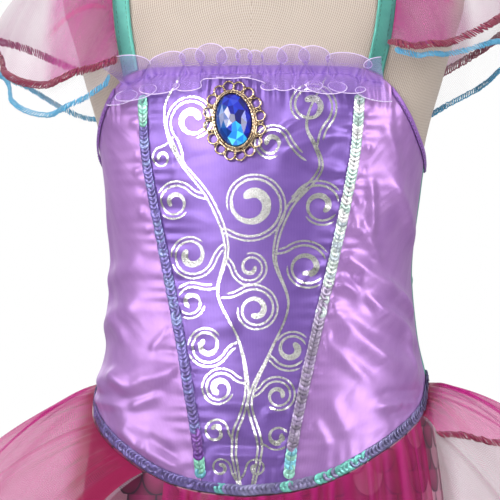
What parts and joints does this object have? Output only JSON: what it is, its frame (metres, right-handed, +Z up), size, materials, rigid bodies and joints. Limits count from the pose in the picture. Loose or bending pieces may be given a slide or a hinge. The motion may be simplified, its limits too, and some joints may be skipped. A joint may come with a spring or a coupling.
{
  "type": "princess costume dress on a limbless dress form",
  "caption": "Child's sleeveless-bodice costume dress with flounce sleeves, peplum and long skirt, shown on a limbless dress form with a round base.",
  "frame": {"origin": "centre of the stand base's underside", "axes": "+Z up, the dress's front faces -Y, +X to the wearer's left"},
  "size_m": [0.4449, 0.2865, 0.905],
  "materials": {
    "lavender_satin": "woven satin with silver foil scrolls",
    "lilac_satin": "plain lilac satin",
    "teal_satin": "plain teal satin",
    "purple_satin": "narrow satin binding",
    "lavender_organza": "sheer gathered organza",
    "magenta_organza": "sheer organza with a picot edge",
    "pale_organza": "sheer pale organza with a picot edge",
    "scale_print": "magenta cloth with a fish-scale print",
    "sequins": "iridescent cup sequins",
    "gold_plate": "pale gold plate",
    "blue_stone": "faceted acrylic stone",
    "jersey": "fine ribbed jersey over foam",
    "painted_steel": "off-white satin paint"
  },
  "bodies": {
    "root": {"form_torso": "jersey", "stand_pole": "painted_steel", "stand_base": "painted_steel", "centre_front": "lavender_satin", "side_front_left": "lilac_satin", "side_front_right": "lilac_satin", "back_left": "teal_satin", "back_right": "teal_satin", "back_placket": "teal_satin", "back_neck_binding": "teal_satin", "armhole_binding_left": "purple_satin", "armhole_binding_right": "purple_satin", "strap_left": "teal_satin", "strap_right": "teal_satin", "sequin_trim_left": "sequins", "sequin_trim_right": "sequins", "sequin_trim_waist": "sequins", "neck_ruffle": "lavender_organza", "sleeve_left_upper": "magenta_organza", "sleeve_left_under": "pale_organza", "sleeve_right_upper": "magenta_organza", "sleeve_right_under": "pale_organza", "peplum_left_upper": "magenta_organza", "peplum_left_under": "pale_organza", "peplum_right_upper": "magenta_organza", "peplum_right_under": "pale_organza", "overlay_front": "magenta_organza", "skirt_front": "scale_print", "skirt_back": "scale_print", "brooch_setting": "gold_plate", "brooch_bezel": "gold_plate", "brooch_gem": "blue_stone"}
  },
  "joints": []
}
